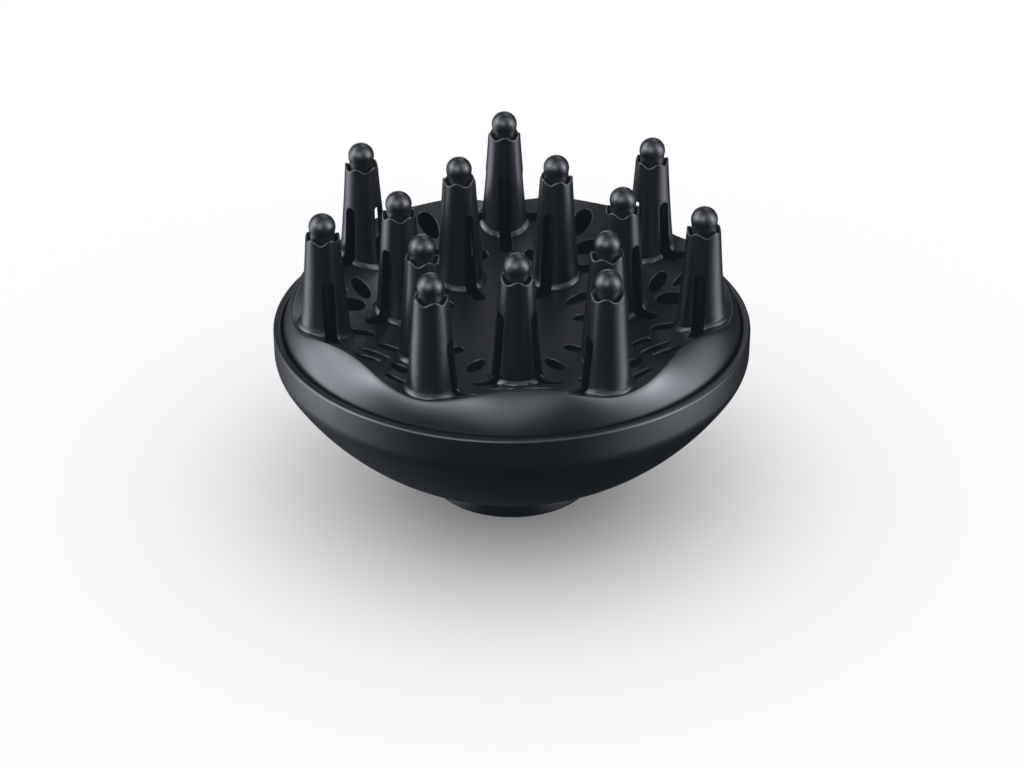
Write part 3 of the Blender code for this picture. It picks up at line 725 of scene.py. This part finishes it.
def make_bowl():
    """From the rim's inner edge over the rim, down the outside, round the hole and up inside."""
    rim_inner = BOWL_RADIUS - RIM_WIDTH
    drop = math.sqrt(BOWL_SPHERE ** 2 - BAND_BLEND ** 2)
    blend_z = BOWL_SPHERE_Z - drop
    corner = (BOWL_RADIUS, blend_z + (BOWL_RADIUS - BAND_BLEND) * BAND_BLEND / drop)
    inner, outer = RIM_INNER_ROUND, RIM_OUTER_ROUND
    outline = arc(rim_inner + inner, BOWL_TOP - inner, inner, 180, 90, 8)
    outline += arc(BOWL_RADIUS - outer, BOWL_TOP - outer, outer, 90, 0, 10)
    outline += bezier((BOWL_RADIUS, BAND_LOW), corner, (BAND_BLEND, blend_z), 10)

    lip, lip_edge, step = COLLAR_RADIUS + 0.0012, 0.0004, 0.0012
    hole = COLLAR_RADIUS - 0.0005
    outline += sphere_points(BAND_BLEND, lip + lip_edge, BOWL_SPHERE, 30)
    lip_z = outline[-1][1] + lip_edge
    outline += arc(lip + lip_edge, lip_z, lip_edge, 270, 180, 5)[1:]
    outline += [(lip, lip_z + step), (hole, lip_z + step), (hole, BOWL_SEAT[1]), BOWL_SEAT]

    inside_top, wall_foot = 0.072, 0.0495
    rim_depth, rim_inner_depth = 0.0016, 0.001
    outline += sphere_points(BOWL_SEAT[0], inside_top, BOWL_SPHERE - BOWL_WALL, 24)
    outline += [
        (BOWL_RADIUS - BOWL_WALL, wall_foot),
        (BOWL_RADIUS - BOWL_WALL, BOWL_TOP - rim_depth),
        (rim_inner, BOWL_TOP - rim_inner_depth),
    ]
    vertices, faces = lathe(outline, 224)
    add("bowl_shell", vertices, faces, BOWL, "bowl", "bowl_plastic", "outer_bowl")


def turned_piece(name, outline, steps, material, slot, node, width):
    vertices, faces = lathe(outline, steps)
    piece = add(name, vertices, faces, material, "bowl", slot, node)
    soften(piece, width, segments=2)


def make_collar():
    """The collar with the groove in its bore, and the rubber ring that sits in the groove."""
    deep, low, high = GRIP_GROOVE
    outline = [
        (COLLAR_TUBE, COLLAR_TOP), (COLLAR_TUBE, COLLAR_SHOULDER),
        (COLLAR_RADIUS, COLLAR_SHOULDER), (COLLAR_RADIUS, 0.0),
        (COLLAR_BORE, 0.0), (COLLAR_BORE, low), (deep, low), (deep, high),
        (COLLAR_BORE, high), (COLLAR_BORE, COLLAR_TOP),
    ]
    turned_piece("collar_tube", outline, 128, COLLAR, "collar_plastic", "collar",
                 width=0.0004)
    gap = 0.0003
    outline = [
        (deep - gap, high - gap), (deep - gap, low + gap), (COLLAR_BORE, low + gap),
        (GRIP_BORE, mix(low, high, 0.4)), (GRIP_BORE, mix(low, high, 0.6)),
        (COLLAR_BORE, high - gap),
    ]
    turned_piece("collar_grip", outline, 96, RUBBER, "grip_rubber", "grip_ring",
                 width=0.0002)


# ---------------------------------------------------------------- camera, floor and lights
FOCAL_LENGTH = 94.63
SENSOR = 36.0
CAMERA_PLACE = (-0.0312, -0.7453, 0.4617)
CAMERA_TURN = (60.16, 0.0, -2.4)        # degrees

TOP_LIGHT = 3.45
TOP_LIGHT_SPREAD = math.radians(140)
FLOOR_COLOR = (0.86, 0.86, 0.87, 1)
FLOOR_GLOW = 0.06
FLOOR_HALF = 6.0
BLACK_LEVEL = (-0.0054, -0.0070, -0.0088)


def make_camera():
    data = bpy.data.cameras.new("camera")
    data.lens = FOCAL_LENGTH
    data.sensor_width = SENSOR
    camera = bpy.data.objects.new("camera", data)
    camera.location = CAMERA_PLACE
    camera.rotation_euler = [math.radians(a) for a in CAMERA_TURN]
    bpy.context.scene.collection.objects.link(camera)
    bpy.context.scene.camera = camera


GLOW_TINT = (0.95, 1.0, 1.10)
GLOWS = (                               # azimuth, elevation, tightness, radiance
    (70, 12, 40, 11.5),                 # the box to the right, and what spreads round it
    (84, -8, 14, 4.2),
    (68, 36, 10, 4.3),
    (-80, 20, 40, 11.0),                # the box to the left
    (-100, -8, 14, 5.0),
    (-100, 35, 14, 6.0),
    (-50, 25, 35, 4.0),
    (-20, 30, 20, 7.0),                 # the box over the camera
    (0, 66, 14, 0.6),                   # overhead
    (158, 50, 40, 3.5),                 # behind
    (180, 0, 40, 2.0),
    (-70, -32, 60, 0.5),                # low in front, seen in the collar
    (54, -32, 60, 0.7),
    (-130, -35, 7, 0.15),               # the pale ground, seen in the underside
)


def make_light():
    """One very soft light from straight above, left out of reflections."""
    sky = bpy.data.lights.new("soft_top_light", "SUN")
    sky.energy = TOP_LIGHT
    sky.angle = TOP_LIGHT_SPREAD
    top = bpy.data.objects.new("soft_top_light", sky)
    top.visible_glossy = False
    bpy.context.scene.collection.objects.link(top)


def maths(nodes, links, operation, first, second=None):
    """A math node's output; the node is fed by a socket, and by a socket or number if given."""
    node = nodes.new("ShaderNodeMath")
    node.operation = operation
    links.new(first, node.inputs[0])
    if isinstance(second, (int, float)):
        node.inputs[1].default_value = second
    elif second is not None:
        links.new(second, node.inputs[1])
    return node.outputs[0]


def make_world():
    """White behind everything, and soft glows that only show in reflections.

    A glow's strength is radiance * exp(tightness * (cos(a) - 1)), a being the angle from its
    middle, which is given in degrees as seen from the part: azimuth 0 is in front, 90 right.
    """
    world = bpy.data.worlds.new("studio")
    world.use_nodes = True
    world.cycles.sampling_method = "NONE"
    nodes, links = world.node_tree.nodes, world.node_tree.links
    way = nodes.new("ShaderNodeTexCoord").outputs["Generated"]
    ray = nodes.new("ShaderNodeLightPath")
    total = None
    for azimuth, elevation, tightness, radiance in GLOWS:
        a, e = math.radians(azimuth), math.radians(elevation)
        middle = (math.sin(a) * math.cos(e), -math.cos(a) * math.cos(e), math.sin(e))
        dot = nodes.new("ShaderNodeVectorMath")
        dot.operation = "DOT_PRODUCT"
        links.new(way, dot.inputs[0])
        dot.inputs[1].default_value = middle
        fall = maths(nodes, links, "SUBTRACT", dot.outputs["Value"], 1.0)
        fall = maths(nodes, links, "MULTIPLY", fall, tightness)
        glow = maths(nodes, links, "EXPONENT", fall)
        glow = maths(nodes, links, "MULTIPLY", glow, radiance)
        total = glow if total is None else maths(nodes, links, "ADD", total, glow)
    total = maths(nodes, links, "MULTIPLY", total, ray.outputs["Is Glossy Ray"])
    glows = nodes.new("ShaderNodeBackground")
    glows.inputs["Color"].default_value = (*GLOW_TINT, 1)
    links.new(total, glows.inputs["Strength"])
    back = nodes["Background"]
    back.inputs["Color"].default_value = (1, 1, 1, 1)
    links.new(ray.outputs["Is Camera Ray"], back.inputs["Strength"])
    both = nodes.new("ShaderNodeAddShader")
    links.new(back.outputs[0], both.inputs[0])
    links.new(glows.outputs[0], both.inputs[1])
    links.new(both.outputs[0], nodes["World Output"].inputs["Surface"])
    bpy.context.scene.world = world


def make_floor():
    """A plain pale floor, clear when seen from below."""
    material = bpy.data.materials.new("pale_floor")
    material.use_nodes = True
    nodes, links = material.node_tree.nodes, material.node_tree.links
    shader = nodes["Principled BSDF"]
    shader.inputs["Base Color"].default_value = FLOOR_COLOR
    shader.inputs["Roughness"].default_value = 0.9
    shader.inputs["Specular IOR Level"].default_value = 0.0
    shader.inputs["Emission Color"].default_value = (1, 1, 1, 1)
    shader.inputs["Emission Strength"].default_value = FLOOR_GLOW
    clear = nodes.new("ShaderNodeBsdfTransparent")
    geometry = nodes.new("ShaderNodeNewGeometry")
    two_sided = nodes.new("ShaderNodeMixShader")
    links.new(geometry.outputs["Backfacing"], two_sided.inputs["Fac"])
    links.new(shader.outputs["BSDF"], two_sided.inputs[1])
    links.new(clear.outputs["BSDF"], two_sided.inputs[2])
    links.new(two_sided.outputs["Shader"], nodes["Material Output"].inputs["Surface"])
    mesh = bpy.data.meshes.new("floor")
    corners = [(x * FLOOR_HALF, y * FLOOR_HALF, 0) for x, y in ((-1, -1), (1, -1), (1, 1), (-1, 1))]
    mesh.from_pydata(corners, [], [(0, 1, 2, 3)])
    mesh.materials.append(material)
    floor = bpy.data.objects.new("floor", mesh)
    floor.visible_glossy = False
    floor.visible_shadow = False
    bpy.context.scene.collection.objects.link(floor)


def make_view():
    """A plain view with slightly lifted, slightly cool blacks, as in a product photograph."""
    view = bpy.context.scene.view_settings
    view.view_transform = "Standard"
    view.use_curve_mapping = True
    view.curve_mapping.black_level = BLACK_LEVEL
    view.curve_mapping.update()


def dress_cad_nodes():
    """Procedural materials for the inner CAD pieces that stay as they are."""
    finishes = {                        # by a word in the node's name
        "screw": STEEL, "lift_cam": INNER, "pin_carrier": INNER, "air_baffle": INNER,
        "collar_lock_ring": INNER,
    }
    for name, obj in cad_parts.items():
        for word, finish in finishes.items():
            if word in name:
                obj.data.materials.clear()
                obj.data.materials.append(finish)


make_camera()
make_world()
make_light()
make_floor()
make_bowl()
make_collar()
make_cover()
make_fingers("outer", OUTER_RING, OUTER_START, OUTER_BALL_Z, OUTER_SLOTS, 0.0)
make_fingers("inner", INNER_RING, INNER_START, INNER_BALL_Z, INNER_SLOTS, math.pi)
dress_cad_nodes()
make_view()
